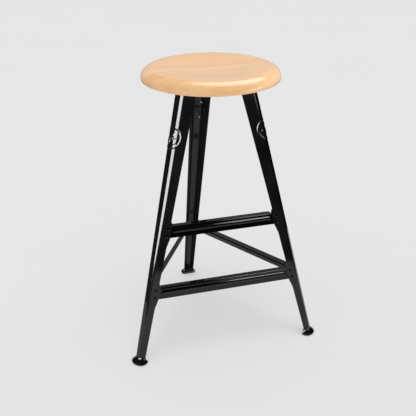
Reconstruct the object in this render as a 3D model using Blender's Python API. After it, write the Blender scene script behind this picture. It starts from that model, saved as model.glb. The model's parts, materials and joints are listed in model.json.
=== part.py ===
"""Three-legged workshop stool: turned beech seat on a height-adjustable swivel head,
three legs folded from sheet steel, one footrest rung and three lower rungs.

Units are metres, +Z is up, the feet stand on z = 0 and the footrest faces -Y.
Every piece is built round the seat axis and the whole stool is moved at the end, so that
the origin lies under the middle of its bounding box.
"""
import math

import bmesh
import bpy
from mathutils import Matrix, Vector

# ---------------------------------------------------------------- driving sizes
GAP = 0.0003                # between pieces that touch
SHEET = 0.0020              # folded sheet steel

SEAT_HEIGHT = 0.750         # top of the seat's rim above the floor
SEAT_D = 0.350
SEAT_T = 0.030
SEAT_DISH = 0.0055          # how far the middle lies below the rim
SEAT_FLAT_R = 0.040         # flat middle of the dish
SEAT_RIM_IN = 0.0310        # highest line of the rim, in from the edge
SEAT_TOP_ROUND = 0.0235     # drop of the rounded shoulder from that line to the edge
SEAT_LOW_ROUND = 0.0055

LEG_R_LOW = 0.2902          # leg nose from the seat axis, at the floor
LEG_R_TOP = 0.1133          # the same at the hub's height, as all the upper leg sizes
LEG_WEB_LOW = 0.0147        # web between the two bend corners
LEG_WEB_TOP = 0.0231
LEG_FLANGE_LOW = 0.0158     # flange from bend corner to free edge
LEG_FLANGE_TOP = 0.0354
LEG_BEND = 0.41             # bend radius as a share of the web
LEG_FOLD = math.radians(60.0)
LEG_RIM_Z = 0.0010          # the steel rim stays clear of the floor, the glide carries
HOOF_H = 0.0205             # the leg starts to flare into its round foot here
HOOF_BEND = 0.50            # share of that height in which the flare bends out
HOOF_WIDE_Z = 0.0055        # widest line of the foot
HOOF_DEEP = 0.0205          # half sizes of the foot's oval outline, seen from above
HOOF_WIDE = 0.0235
HOOF_BACK = 0.0122          # its centre, behind the leg's nose at the floor
HOOF_ARC = math.radians(125.0)  # outline from the nose to each free edge
HOOF_CURL = 0.0050          # the rim turns in again below the widest line

RUNG_LOW_Z = 0.1943         # middle of the lower rungs
RUNG_UP_Z = 0.3585          # middle of the footrest rung
RUNG_FACE = 0.0304          # height of the flat face
RUNG_SHELF = 0.0150         # top shelf, folded back
RUNG_ROUND = 0.0030
BEAD_H = 0.0108             # pressed bead along the face
BEAD_OUT = 0.0022
BEAD_DROP = 0.0127          # bead middle below the shelf
TAB_OUT = 0.0050            # leg flange widened where a rung is riveted
TAB_LOW = 0.0165            # tab edge below and above the rung's middle
TAB_HIGH = 0.0205
TAB_SLOPE_LOW = 0.0230
TAB_SLOPE_HIGH = 0.0085

RIVET_D = 0.0050
RIVET_HEAD_D = 0.0090
RIVET_HEAD_H = 0.0017
RIVET_FREE = 0.0057         # each rivet's middle from the rung's shelf and lower edge
RIVET_INSET = 0.0050        # from the flange's plain free edge

BADGE_DROP = 0.1030         # round pressed emblem on the leg's nose, below the hub
BADGE_R = 0.0275
BADGE_OUT = 0.0010

HEAD_DEEP = 0.0200          # from the hub plate's underside to the seat's
HUB_T = 0.0030
HUB_BOSS_D = 0.0460
HUB_BOSS_H = 0.0030         # boss below the plate
APRON_T = 0.0025
APRON_H = 0.0150            # upturned rim of the hub, above the plate's underside
APRON_HALF = 0.0800
APRON_RIVET_U = 0.0700
APRON_RIVET_H = 0.0086

LIFT = 0.0120               # height adjustment
SCREW_D = 0.0260            # adjusting pillar
SCREW_PITCH = 0.0040
KEY_W = 0.0046
KEY_DEEP = 0.0022
COLLAR_D = 0.0440
COLLAR_T = 0.0026
JOURNAL_D = 0.0180
THRUST_T = 0.0015
THRUST_D = 0.0400
PLATE_D = 0.1360
PLATE_T = 0.0030
NUT_D = 0.0840
NUT_LOBES = 12
WASHER_T = 0.0020
STOP_WASHER_D = 0.0360
TOP_WASHER_D = 0.0300
BOLT_D = 0.0080
BOLT_HEAD_D = 0.0130
SEAT_SCREWS = 4
SEAT_SCREW_R = 0.0520
SEAT_SCREW_D = 0.0040
SEAT_SCREW_HEAD_D = 0.0090
SEAT_SCREW_HEAD_H = 0.0022
SEAT_SCREW_IN = 0.0130
RECESS_D = 0.0420
RECESS_H = 0.0090

ROUND_SEG = 80
SMALL_SEG = 28
RIVET_SEG = 12

# ---------------------------------------------------------------- derived heights
SEAT_LOW = SEAT_HEIGHT - SEAT_T
HUB_Z = SEAT_LOW - HEAD_DEEP
LEG_REF = HUB_Z
BADGE_Z = HUB_Z - BADGE_DROP
APRON_TOP = HUB_Z + APRON_H
APRON_RIVET_Z = HUB_Z + APRON_RIVET_H
RIVET_STEP = RUNG_FACE / 2.0 - RIVET_FREE   # each rivet from the rung's middle
PLATE_TOP = SEAT_LOW - GAP
PLATE_LOW = PLATE_TOP - PLATE_T
THRUST_LOW = PLATE_LOW - GAP - THRUST_T
COLLAR_TOP = THRUST_LOW - GAP
COLLAR_LOW = COLLAR_TOP - COLLAR_T
HUB_TOP = HUB_Z + HUB_T
NUT_LOW = HUB_TOP + GAP
NUT_TOP = COLLAR_LOW - GAP
JOURNAL_TOP = PLATE_TOP + 0.0002
TOP_WASHER_LOW = JOURNAL_TOP + GAP
BOSS_LOW = HUB_Z - HUB_BOSS_H
STOP_WASHER_TOP = BOSS_LOW - GAP - LIFT
SCREW_LOW = STOP_WASHER_TOP + GAP
LEG_TOP = SEAT_LOW - 0.0040
LEG_AZ = {"left": 210.0, "right": 330.0, "back": 90.0}
SIDE_AZ = {"front": 270.0, "right": 30.0, "left": 150.0}
SIDE_LEGS = {"front": ("left", "right"), "right": ("right", "back"), "left": ("back", "left")}
COS60 = math.cos(LEG_FOLD)
SIN60 = math.sin(LEG_FOLD)


# ---------------------------------------------------------------- helpers
def clear_scene():
    for obj in list(bpy.data.objects):
        bpy.data.objects.remove(obj, do_unlink=True)


def make_material(name, color, metallic, roughness):
    mat = bpy.data.materials.new(name)
    mat.use_nodes = True
    shader = mat.node_tree.nodes["Principled BSDF"]
    shader.inputs["Base Color"].default_value = (color[0], color[1], color[2], 1.0)
    shader.inputs["Metallic"].default_value = metallic
    shader.inputs["Roughness"].default_value = roughness
    mat.diffuse_color = (color[0], color[1], color[2], 1.0)
    return mat


def finish_mesh(obj, sharp=math.radians(38.0)):
    """Outward normals, smooth faces and sharp edges where the surface really turns."""
    bm = bmesh.new()
    bm.from_mesh(obj.data)
    bmesh.ops.remove_doubles(bm, verts=bm.verts, dist=0.000002)
    bmesh.ops.recalc_face_normals(bm, faces=bm.faces)
    for face in bm.faces:
        face.smooth = True
    for edge in bm.edges:
        if len(edge.link_faces) == 2:
            edge.smooth = edge.calc_face_angle(0.0) < sharp
    bm.to_mesh(obj.data)
    bm.free()


def add_object(name, verts, faces, look):
    mesh = bpy.data.meshes.new(name)
    mesh.from_pydata([tuple(v) for v in verts], [], faces)
    mesh.update()
    obj = bpy.data.objects.new(name, mesh)
    bpy.context.scene.collection.objects.link(obj)
    obj.data.materials.append(make_material(name + "_look", *look))
    finish_mesh(obj)
    return obj


def turned(name, profile, segments, look, closed=True):
    """Solid of revolution; a closed profile is a ring, an open one starts and ends on the axis."""
    verts = []
    faces = []
    rows = []
    for radius, z in profile:
        if radius < 1e-9:
            rows.append([len(verts)])
            verts.append((0.0, 0.0, z))
        else:
            rows.append(list(range(len(verts), len(verts) + segments)))
            for k in range(segments):
                angle = 2.0 * math.pi * k / segments
                verts.append((radius * math.cos(angle), radius * math.sin(angle), z))
    count = len(rows)
    pairs = [(i, (i + 1) % count) for i in range(count if closed else count - 1)]
    for i, j in pairs:
        low, high = rows[i], rows[j]
        for k in range(segments):
            n = (k + 1) % segments
            if len(low) == 1 and len(high) == 1:
                continue
            if len(low) == 1:
                faces.append((low[0], high[n], high[k]))
            elif len(high) == 1:
                faces.append((low[k], low[n], high[0]))
            else:
                faces.append((low[k], low[n], high[n], high[k]))
    return add_object(name, verts, faces, look)


def prism(name, outline, z_low, z_high, look):
    count = len(outline)
    verts = [(x, y, z_low) for x, y in outline] + [(x, y, z_high) for x, y in outline]
    faces = [tuple(range(count - 1, -1, -1)), tuple(range(count, 2 * count))]
    for i in range(count):
        j = (i + 1) % count
        faces.append((i, j, count + j, count + i))
    return add_object(name, verts, faces, look)


def thick_sheet(name, outer, inner, look):
    """Closed sheet between two grids of points with the same rows and columns."""
    rows = len(outer)
    cols = len(outer[0])
    verts = [p for row in outer for p in row] + [p for row in inner for p in row]
    shift = rows * cols
    faces = []

    def at(r, c, side):
        return side * shift + r * cols + c

    for r in range(rows - 1):
        for c in range(cols - 1):
            faces.append((at(r, c, 0), at(r, c + 1, 0), at(r + 1, c + 1, 0), at(r + 1, c, 0)))
            faces.append((at(r, c, 1), at(r + 1, c, 1), at(r + 1, c + 1, 1), at(r, c + 1, 1)))
        faces.append((at(r, 0, 0), at(r + 1, 0, 0), at(r + 1, 0, 1), at(r, 0, 1)))
        last = cols - 1
        faces.append((at(r, last, 0), at(r, last, 1), at(r + 1, last, 1), at(r + 1, last, 0)))
    for c in range(cols - 1):
        faces.append((at(0, c, 0), at(0, c, 1), at(0, c + 1, 1), at(0, c + 1, 0)))
        end = rows - 1
        faces.append((at(end, c, 0), at(end, c + 1, 0), at(end, c + 1, 1), at(end, c, 1)))
    return add_object(name, verts, faces, look)


def boolean(target, tools, operation):
    """Applies one exact Boolean per tool and removes the tools."""
    for tool in tools:
        tool.hide_render = True
        tool.display_type = 'WIRE'
        mod = target.modifiers.new("cut", 'BOOLEAN')
        mod.operation = operation
        mod.solver = 'EXACT'
        mod.object = tool
        bpy.context.view_layer.update()
        graph = bpy.context.evaluated_depsgraph_get()
        result = bpy.data.meshes.new_from_object(target.evaluated_get(graph))
        target.modifiers.remove(mod)
        old = target.data
        target.data = result
        bpy.data.meshes.remove(old)
    for tool in tools:
        bpy.data.objects.remove(tool, do_unlink=True)
    first = target.data.materials[0]
    target.data.materials.clear()
    target.data.materials.append(first)
    for poly in target.data.polygons:
        poly.material_index = 0
    finish_mesh(target)


def peg(name, radius, low, high, look, segments=RIVET_SEG):
    """Plain cylinder along Z."""
    profile = [(0.0, low), (radius, low), (radius, high), (0.0, high)]
    return turned(name, profile, segments, look, closed=False)


def place(obj, matrix):
    obj.data.transform(matrix)
    obj.data.update()


# ---------------------------------------------------------------- leg section
def leg_sizes(z):
    share = z / LEG_REF
    nose = LEG_R_LOW + (LEG_R_TOP - LEG_R_LOW) * share
    web = LEG_WEB_LOW + (LEG_WEB_TOP - LEG_WEB_LOW) * share
    flange = LEG_FLANGE_LOW + (LEG_FLANGE_TOP - LEG_FLANGE_LOW) * share
    return nose, web, flange


def flange_plane(z):
    """Distance of the flange's outer face from the seat axis, square to that side."""
    nose, web, _ = leg_sizes(z)
    return nose * COS60 + web * 0.5 * SIN60


def corner_along(z):
    """Distance of the bend corner from the middle of a side, along that side."""
    nose, web, _ = leg_sizes(z)
    return nose * SIN60 - web * 0.5 * COS60


SIDE_LEAN = math.atan((flange_plane(0.0) - flange_plane(LEG_REF)) / LEG_REF)


def tab_width(z, nodes):
    width = 0.0
    for node in nodes:
        low = node - TAB_LOW
        high = node + TAB_HIGH
        rise = (z - (low - TAB_SLOPE_LOW)) / TAB_SLOPE_LOW
        fall = ((high + TAB_SLOPE_HIGH) - z) / TAB_SLOPE_HIGH
        width = max(width, TAB_OUT * max(0.0, min(1.0, rise, fall)))
    return width


def hoof_share(z):
    """0 on the plain leg, 1 where its outline has become the foot's round outline."""
    share = max(0.0, min(1.0, (HOOF_H - z) / (HOOF_H - HOOF_WIDE_Z)))
    bent = min(share, HOOF_BEND)
    return (bent * bent / (2.0 * HOOF_BEND) + share - bent) / (1.0 - HOOF_BEND / 2.0)


def hoof_curl(z):
    """How far the rim has turned in below the widest line."""
    below = max(0.0, HOOF_WIDE_Z - z) / HOOF_WIDE_Z
    return HOOF_CURL * (1.0 - math.sqrt(1.0 - below * below))


def leg_point(azimuth, z, where, amount, offset, nodes_plus, nodes_minus):
    """Point on the leg's skin. where: 'web', 'bend' or 'flange'; amount: -1..1 across the web,
    signed bend angle, or signed share of the flange. offset: out along the normal."""
    nose, web, flange = leg_sizes(z)
    radius = LEG_BEND * web
    tangent = radius * math.tan(LEG_FOLD / 2.0)
    flat = web / 2.0 - tangent
    arc = radius * LEG_FOLD
    side = 1.0 if amount >= 0.0 else -1.0
    full = flange - tangent + tab_width(z, nodes_plus if side > 0.0 else nodes_minus)
    if where == "web":
        along = abs(amount) * flat
        rho, tau = nose + offset, amount * flat
    elif where == "bend":
        angle = abs(amount)
        along = flat + radius * angle
        rho = nose - radius + (radius + offset) * math.cos(angle)
        tau = side * (flat + (radius + offset) * math.sin(angle))
    else:
        length = full * abs(amount)
        along = flat + arc + length
        rho = nose - radius + (radius + offset) * COS60 - length * SIN60
        tau = side * (flat + (radius + offset) * SIN60 + length * COS60)
    share = hoof_share(z)
    turn = HOOF_ARC * along / (flat + arc + full)
    reach = offset - hoof_curl(z)
    rho += share * (LEG_R_LOW - HOOF_BACK + (HOOF_DEEP + reach) * math.cos(turn) - rho)
    tau += share * (side * (HOOF_WIDE + reach) * math.sin(turn) - tau)
    a = math.radians(azimuth)
    return Vector((rho * math.cos(a) - tau * math.sin(a), rho * math.sin(a) + tau * math.cos(a), z))


def leg_samples(bend_steps, flange_shares):
    marks = [("flange", -s) for s in flange_shares]
    marks += [("bend", -LEG_FOLD * k / bend_steps) for k in range(bend_steps, 0, -1)]
    marks += [("web", -1.0), ("web", -0.5), ("web", 0.0), ("web", 0.5), ("web", 1.0)]
    marks += [("bend", LEG_FOLD * k / bend_steps) for k in range(1, bend_steps + 1)]
    marks += [("flange", s) for s in reversed(flange_shares)]
    return marks


def leg_nodes(leg):
    """Rung heights riveted on the flange towards +tau and towards -tau."""
    low = (RUNG_LOW_Z,)
    both = (RUNG_LOW_Z, RUNG_UP_Z)
    if leg == "left":
        return both, low
    if leg == "right":
        return low, both
    return low, low


def rim_heights():
    """From the steel rim up to the foot's widest line."""
    return [LEG_RIM_Z + (HOOF_WIDE_Z - LEG_RIM_Z) * s for s in (0.0, 0.2, 0.5, 1.0)]


def leg_heights(nodes):
    heights = rim_heights()
    heights += [HOOF_WIDE_Z + (HOOF_H - HOOF_WIDE_Z) * s for s in (0.5, 0.62, 0.74, 0.87, 1.0)]
    for node in sorted(nodes):
        heights += [node - TAB_LOW - TAB_SLOPE_LOW, node - TAB_LOW]
        heights += [node + TAB_HIGH, node + TAB_HIGH + TAB_SLOPE_HIGH]
    heights.append(LEG_TOP)
    return heights


def badge_solid(azimuth, look):
    """Round emblem that follows the nose: a disc with a raised rim and a low dome."""
    spokes = 20
    rings = [(1.0, -0.4), (0.97, 0.55), (0.88, 1.0), (0.80, 0.55), (0.45, 0.45), (0.25, 0.95)]
    lean = math.atan((LEG_R_LOW - LEG_R_TOP) / LEG_REF)
    verts = []
    faces = []

    def skin(dist, spoke, offset):
        angle = 2.0 * math.pi * spoke / spokes
        along = dist * math.cos(angle)
        z = BADGE_Z + dist * math.sin(angle) * math.cos(lean)
        _, web, flange = leg_sizes(z)
        radius = LEG_BEND * web
        tangent = radius * math.tan(LEG_FOLD / 2.0)
        flat = web / 2.0 - tangent
        arc = radius * LEG_FOLD
        side = 1.0 if along >= 0.0 else -1.0
        reach = abs(along)
        if reach <= flat:
            return leg_point(azimuth, z, "web", along / flat, offset, (), ())
        if reach <= flat + arc:
            return leg_point(azimuth, z, "bend", side * (reach - flat) / radius, offset, (), ())
        share = (reach - flat - arc) / (flange - tangent)
        return leg_point(azimuth, z, "flange", side * share, offset, (), ())

    for share, rise in rings:
        for k in range(spokes):
            verts.append(skin(BADGE_R * share, k, BADGE_OUT * rise))
    top = len(verts)
    verts.append(skin(0.0, 0, BADGE_OUT * 1.2))
    for r in range(len(rings) - 1):
        for k in range(spokes):
            n = (k + 1) % spokes
            faces.append((r * spokes + k, r * spokes + n, (r + 1) * spokes + n, (r + 1) * spokes + k))
    last = (len(rings) - 1) * spokes
    for k in range(spokes):
        faces.append((last + k, last + (k + 1) % spokes, top))
    base = len(verts)
    for share in (0.97, 0.5):
        for k in range(spokes):
            verts.append(skin(BADGE_R * share, k, -SHEET * 0.5))
    under = len(verts)
    verts.append(skin(0.0, 0, -SHEET * 0.5))
    for k in range(spokes):
        n = (k + 1) % spokes
        faces.append((n, k, base + k, base + n))
        faces.append((base + n, base + k, base + spokes + k, base + spokes + n))
        faces.append((base + spokes + n, base + spokes + k, under))
    return add_object("badge_tool", verts, faces, look)


# ---------------------------------------------------------------- frames on a side
def side_frame(side):
    a = math.radians(SIDE_AZ[side])
    out = Vector((math.cos(a), math.sin(a), 0.0))
    along = Vector((-math.sin(a), math.cos(a), 0.0))
    return out, along


def side_point(side, u, n, z):
    out, along = side_frame(side)
    return out * n + along * u + Vector((0.0, 0.0, z))


def rivet_matrix(side, u, z):
    """Frame whose Z axis leaves the flange's outer face at (u, z)."""
    out, along = side_frame(side)
    normal = out * math.cos(SIDE_LEAN) + Vector((0.0, 0.0, math.sin(SIDE_LEAN)))
    up = normal.cross(along)
    origin = side_point(side, u, flange_plane(z), z)
    return Matrix((
        (along.x, up.x, normal.x, origin.x),
        (along.y, up.y, normal.y, origin.y),
        (along.z, up.z, normal.z, origin.z),
        (0.0, 0.0, 0.0, 1.0),
    ))


def rung_rivet_spots(side, middle):
    """(leg, u, z) of the four rivets that hold one rung."""
    spots = []
    legs = SIDE_LEGS[side]
    for index, sign in enumerate((-1.0, 1.0)):
        for step in (RIVET_STEP, -RIVET_STEP):
            z = middle + step
            _, _, flange = leg_sizes(z)
            u = corner_along(z) - flange + RIVET_INSET
            spots.append((legs[index], sign * u, z))
    return spots


def rivet(name, side, u, z, grip, look):
    """Dome head outside, flat head inside, shank through the pieces it grips."""
    head = RIVET_HEAD_D / 2.0
    shank = RIVET_D / 2.0
    low = -grip - GAP
    profile = [(0.0, low - 0.0016), (head * 0.80, low - 0.0016), (head * 0.85, low)]
    profile += [(shank, low), (shank, GAP), (head, GAP)]
    for k in range(1, 3):
        angle = math.pi / 2.0 * k / 3.0
        profile.append((head * math.cos(angle), GAP + RIVET_HEAD_H * math.sin(angle)))
    profile.append((0.0, GAP + RIVET_HEAD_H))
    obj = turned(name, profile, RIVET_SEG, look, closed=False)
    place(obj, rivet_matrix(side, u, z))
    return obj


def rivet_hole(side, u, z, look):
    tool = peg("hole_tool", RIVET_D / 2.0 + GAP, -0.008, 0.004, look)
    place(tool, rivet_matrix(side, u, z))
    return tool


# ---------------------------------------------------------------- rung
def rung_section(middle, bead, shelf):
    """Outer and inner line of a rung, from the shelf's back edge to the lower edge, as
    (depth behind the face plane, height) pairs. bead: 0..1 share of the full bead."""
    top = middle + RUNG_FACE / 2.0
    bottom = middle - RUNG_FACE / 2.0
    r = RUNG_ROUND
    outer = [(shelf, top, 0.0, 1.0)]
    for k in range(5):
        angle = math.pi / 2.0 * (1.0 - k / 4.0)
        outer.append((r - r * math.cos(angle), top - r + r * math.sin(angle),
                      math.cos(angle), math.sin(angle)))
    center = top - BEAD_DROP
    half = BEAD_H / 2.0
    for k in range(7):
        t = -1.0 + 2.0 * k / 6.0
        rise = bead * BEAD_OUT * math.cos(t * math.pi / 2.0) ** 0.8
        slope = bead * BEAD_OUT / half * math.sin(t * math.pi / 2.0) * 1.2
        length = math.hypot(1.0, slope)
        outer.append((-rise, center - half * t, 1.0 / length, -slope / length))
    outer.append((0.0, bottom, 1.0, 0.0))
    line_out = []
    line_in = []
    for depth, z, nx, nz in outer:
        line_out.append((depth, z))
        line_in.append((depth + SHEET * nx, z - SHEET * nz))
    return line_out, line_in


def rung_grid(side, middle):
    """Stations along the rung as insets from the leg's bend corner at each height."""
    _, web, flange = leg_sizes(middle)
    tangent = LEG_BEND * web * math.tan(LEG_FOLD / 2.0)
    start = tangent + 0.0020
    edge = flange + TAB_OUT
    bead_start = flange + 0.0105
    stations = [(start, 0.0, 0.0050), (edge + 0.0010, 0.0, 0.0050), (edge + 0.0030, 0.0, RUNG_SHELF)]
    for k in range(1, 6):
        angle = math.pi / 2.0 * k / 5.0
        inset = bead_start + BEAD_H * 0.8 * (1.0 - math.cos(angle))
        stations.append((max(inset, edge + 0.0030 + 0.0008 * k), math.sin(angle), RUNG_SHELF))
    rows_out = []
    rows_in = []
    for sign in (-1.0, 1.0):
        ordered = stations if sign < 0.0 else list(reversed(stations))
        for inset, bead, shelf in ordered:
            line_out, line_in = rung_section(middle, bead, shelf)
            row_out = []
            row_in = []
            for (d0, z0), (d1, z1) in zip(line_out, line_in):
                for row, depth, z in ((row_out, d0, z0), (row_in, d1, z1)):
                    u = sign * (corner_along(z) - inset)
                    n = flange_plane(z) - (SHEET + GAP) / math.cos(SIDE_LEAN) - depth
                    row.append(side_point(side, u, n, z))
            rows_out.append(row_out)
            rows_in.append(row_in)
    return rows_out, rows_in


# ---------------------------------------------------------------- the stool
BLACK = ((0.012, 0.012, 0.013), 0.0, 0.18)
ZINC = ((0.55, 0.56, 0.58), 1.0, 0.38)
BRASS = ((0.62, 0.48, 0.22), 1.0, 0.35)
BEECH = ((0.80, 0.56, 0.34), 0.0, 0.32)
NYLON = ((0.05, 0.05, 0.05), 0.0, 0.6)
moving = []


def build_seat():
    radius = SEAT_D / 2.0
    top = SEAT_HEIGHT
    rim_r = radius - SEAT_RIM_IN
    profile = [(0.0, top - SEAT_DISH), (SEAT_FLAT_R, top - SEAT_DISH)]
    for k in range(1, 6):
        share = k / 5.0
        r = SEAT_FLAT_R + (rim_r - SEAT_FLAT_R) * share
        profile.append((r, top - SEAT_DISH * (0.5 + 0.5 * math.cos(math.pi * share))))
    for k in range(1, 7):
        angle = math.pi / 2.0 * k / 6.0
        profile.append((rim_r + (radius - rim_r) * math.sin(angle),
                        top - SEAT_TOP_ROUND * (1.0 - math.cos(angle))))
    low = SEAT_LOW
    for k in range(1, 5):
        angle = math.pi / 2.0 * k / 4.0
        profile.append((radius - SEAT_LOW_ROUND * (1.0 - math.cos(angle)),
                        low + SEAT_LOW_ROUND * (1.0 - math.sin(angle))))
    profile += [(RECESS_D / 2.0, low), (RECESS_D / 2.0, low + RECESS_H), (0.0, low + RECESS_H)]
    seat = turned("seat_board", profile, ROUND_SEG, BEECH, closed=False)
    plate_profile = [(JOURNAL_D / 2.0 + GAP, PLATE_LOW), (PLATE_D / 2.0 - 0.0008, PLATE_LOW)]
    plate_profile += [(PLATE_D / 2.0, PLATE_LOW + 0.0008), (PLATE_D / 2.0, PLATE_TOP)]
    plate_profile += [(JOURNAL_D / 2.0 + GAP, PLATE_TOP)]
    plate = turned("swivel_plate", plate_profile, 64, ZINC)
    holes_seat = []
    holes_plate = []
    for k in range(SEAT_SCREWS):
        angle = math.radians(45.0) + 2.0 * math.pi * k / SEAT_SCREWS
        spot = Matrix.Translation((SEAT_SCREW_R * math.cos(angle), SEAT_SCREW_R * math.sin(angle), 0.0))
        bore = SEAT_SCREW_D / 2.0 + GAP
        tip = PLATE_LOW + SEAT_SCREW_IN
        tool = peg("hole_tool", bore, SEAT_LOW - 0.002, tip + GAP, BEECH, 12)
        place(tool, spot)
        holes_seat.append(tool)
        tool = peg("hole_tool", bore, PLATE_LOW - 0.002, PLATE_TOP + 0.002, ZINC, 12)
        place(tool, spot)
        holes_plate.append(tool)
        head_top = PLATE_LOW - GAP
        r = SEAT_SCREW_HEAD_D / 2.0
        s = SEAT_SCREW_D / 2.0
        screw_profile = [(0.0, head_top - SEAT_SCREW_HEAD_H), (r * 0.6, head_top - SEAT_SCREW_HEAD_H)]
        screw_profile += [(r, head_top - SEAT_SCREW_HEAD_H * 0.45), (r, head_top), (s, head_top)]
        screw_profile += [(s, tip - 0.003), (0.0, tip)]
        screw = turned("seat_screw_%d" % (k + 1), screw_profile, RIVET_SEG, ZINC, closed=False)
        place(screw, spot)
        moving.append(screw)
    boolean(seat, holes_seat, 'DIFFERENCE')
    boolean(plate, holes_plate, 'DIFFERENCE')
    moving.extend([seat, plate])


def keyed_circle(radius, key_half, key_floor, segments):
    """Circle outline with one flat-bottomed groove (or tongue) towards +X."""
    start = math.asin(key_half / radius)
    points = [(key_floor, -key_half), (key_floor, key_half)]
    for k in range(segments + 1):
        angle = start + (2.0 * math.pi - 2.0 * start) * k / segments
        points.append((radius * math.cos(angle), radius * math.sin(angle)))
    return points


def build_head():
    # adjusting pillar: round thread ridges with one keyway, collar and journal on top
    half = SCREW_D / 2.0
    root = half - 0.0009
    floor = half - KEY_DEEP
    levels = []
    z = SCREW_LOW
    while z + SCREW_PITCH <= COLLAR_LOW - 0.0005:
        levels += [(z + SCREW_PITCH * 0.10, root), (z + SCREW_PITCH * 0.35, half)]
        levels += [(z + SCREW_PITCH * 0.65, half), (z + SCREW_PITCH * 0.90, root)]
        z += SCREW_PITCH
    levels = [(SCREW_LOW, root)] + levels + [(COLLAR_LOW + 0.0005, root)]
    outline_count = 0
    verts = []
    faces = []
    for level, radius in levels:
        ring = keyed_circle(radius, KEY_W / 2.0, floor, 20)
        outline_count = len(ring)
        verts += [(x, y, level) for x, y in ring]
    for i in range(len(levels) - 1):
        for k in range(outline_count):
            n = (k + 1) % outline_count
            a = i * outline_count
            b = a + outline_count
            faces.append((a + k, a + n, b + n, b + k))
    faces.append(tuple(range(outline_count - 1, -1, -1)))
    last = (len(levels) - 1) * outline_count
    faces.append(tuple(range(last, last + outline_count)))
    pillar = add_object("adjusting_pillar", verts, faces, ZINC)
    collar = [(0.0, COLLAR_LOW), (COLLAR_D / 2.0 - 0.0005, COLLAR_LOW), (COLLAR_D / 2.0, COLLAR_LOW + 0.0005)]
    collar += [(COLLAR_D / 2.0, COLLAR_TOP), (JOURNAL_D / 2.0, COLLAR_TOP)]
    collar += [(JOURNAL_D / 2.0, JOURNAL_TOP), (0.0, JOURNAL_TOP)]
    top = turned("collar_tool", collar, SMALL_SEG, ZINC, closed=False)
    boolean(pillar, [top], 'UNION')
    bolt = BOLT_D / 2.0
    deep = 0.0110
    bores = [peg("hole_tool", bolt + GAP, SCREW_LOW - 0.001, SCREW_LOW + deep + GAP, ZINC)]
    bores.append(peg("hole_tool", bolt + GAP, JOURNAL_TOP - deep - GAP, JOURNAL_TOP + 0.001, ZINC))
    boolean(pillar, bores, 'DIFFERENCE')
    moving.append(pillar)

    # retaining washer and bolt on the journal, inside the seat's recess
    wash = [(bolt + GAP, TOP_WASHER_LOW), (TOP_WASHER_D / 2.0, TOP_WASHER_LOW)]
    wash += [(TOP_WASHER_D / 2.0, TOP_WASHER_LOW + WASHER_T), (bolt + GAP, TOP_WASHER_LOW + WASHER_T)]
    moving.append(turned("retaining_washer", wash, SMALL_SEG, ZINC))
    seat_z = TOP_WASHER_LOW + WASHER_T + GAP
    head = [(0.0, JOURNAL_TOP - deep), (bolt, JOURNAL_TOP - deep), (bolt, seat_z)]
    head += [(BOLT_HEAD_D / 2.0, seat_z), (BOLT_HEAD_D / 2.0, seat_z + 0.0028)]
    head += [(BOLT_HEAD_D / 2.0 - 0.0010, seat_z + 0.0036), (0.0, seat_z + 0.0036)]
    moving.append(turned("retaining_bolt", head, SMALL_SEG, ZINC, closed=False))

    # thrust washer between collar and swivel plate
    ring = [(JOURNAL_D / 2.0 + GAP, THRUST_LOW), (THRUST_D / 2.0, THRUST_LOW)]
    ring += [(THRUST_D / 2.0, THRUST_LOW + THRUST_T), (JOURNAL_D / 2.0 + GAP, THRUST_LOW + THRUST_T)]
    moving.append(turned("thrust_washer", ring, SMALL_SEG, BRASS))

    # stop washer and bolt under the pillar
    stop_low = STOP_WASHER_TOP - WASHER_T
    stop = [(bolt + GAP, stop_low), (STOP_WASHER_D / 2.0, stop_low)]
    stop += [(STOP_WASHER_D / 2.0, STOP_WASHER_TOP), (bolt + GAP, STOP_WASHER_TOP)]
    moving.append(turned("stop_washer", stop, SMALL_SEG, ZINC))
    head_top = stop_low - GAP
    low_head = [(0.0, head_top - 0.0026), (BOLT_HEAD_D / 2.0 - 0.0015, head_top - 0.0026)]
    low_head += [(BOLT_HEAD_D / 2.0, head_top - 0.0010), (BOLT_HEAD_D / 2.0, head_top), (bolt, head_top)]
    low_head += [(bolt, SCREW_LOW + deep), (0.0, SCREW_LOW + deep)]
    moving.append(turned("stop_bolt", low_head, SMALL_SEG, ZINC, closed=False))

    # hand nut with finger lobes
    outline = []
    steps = NUT_LOBES * 6
    for k in range(steps):
        angle = 2.0 * math.pi * k / steps
        wave = 0.0016 * math.cos(NUT_LOBES * angle)
        r = NUT_D / 2.0 - 0.0016 + wave
        outline.append((r * math.cos(angle), r * math.sin(angle)))
    nut = prism("hand_nut", outline, NUT_LOW, NUT_TOP, ZINC)
    bore = peg("hole_tool", half + GAP, NUT_LOW - 0.002, NUT_TOP + 0.002, ZINC, SMALL_SEG)
    boolean(nut, [bore], 'DIFFERENCE')
    moving.append(nut)


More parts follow.
